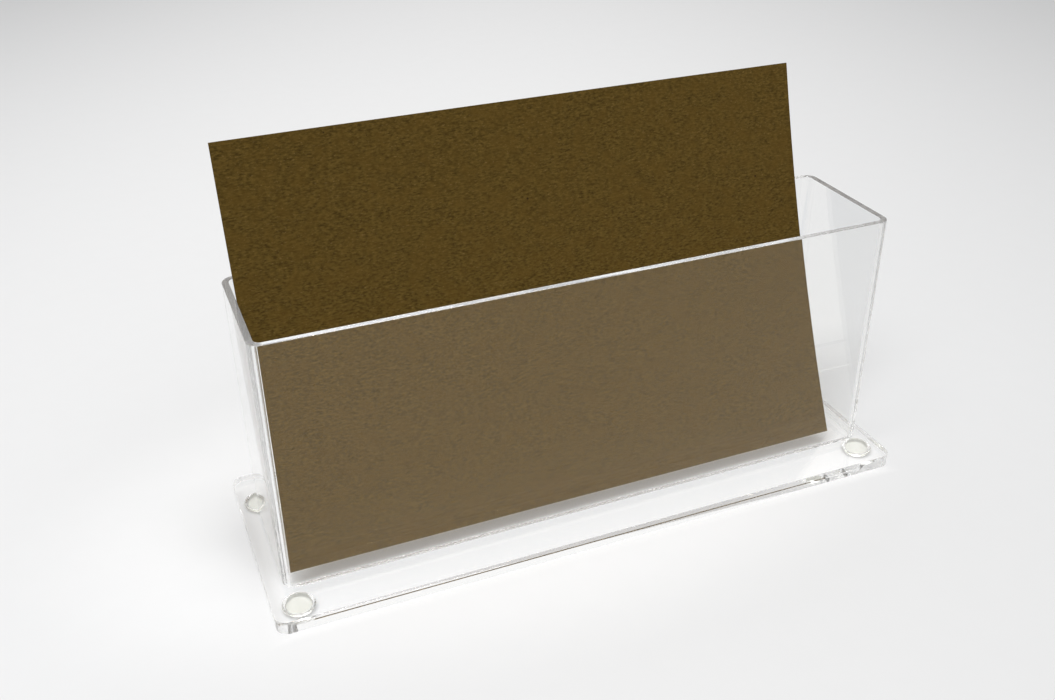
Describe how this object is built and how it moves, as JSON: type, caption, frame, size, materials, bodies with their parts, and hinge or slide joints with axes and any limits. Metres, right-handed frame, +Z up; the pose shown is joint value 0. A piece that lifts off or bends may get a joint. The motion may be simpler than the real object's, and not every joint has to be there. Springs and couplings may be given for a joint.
{
  "type": "postcard stand",
  "caption": "Clear acrylic postcard stand: a bent open-topped sleeve bonded upright on a larger plate with stick-on bumper feet, holding a loose leaning kraft card that lifts out.",
  "frame": {"origin": "on the table, under the middle of the base plate", "axes": "+X to the right along the stand, +Y to its back, +Z up"},
  "size_m": [0.1686, 0.0602, 0.1032],
  "materials": {
    "acrylic": "clear, polished",
    "bumper": "clear, soft, slightly yellowed",
    "adhesive": "clear, tacky",
    "kraft_card": "matte, uncoated, fibrous"
  },
  "bodies": {
    "stand": {"base_plate": "acrylic", "sleeve": "acrylic", "foot_front_left": "bumper", "foot_front_right": "bumper", "foot_back_left": "bumper", "foot_back_right": "bumper", "adhesive_front_left": "adhesive", "adhesive_front_right": "adhesive", "adhesive_back_left": "adhesive", "adhesive_back_right": "adhesive"},
    "card": {"card": "kraft_card"}
  },
  "joints": [
    {"name": "card_lift", "type": "slide", "parent": "stand", "child": "card", "axis": [0, 0.3175, 0.9483], "range_m": [0, 0.08]}
  ]
}
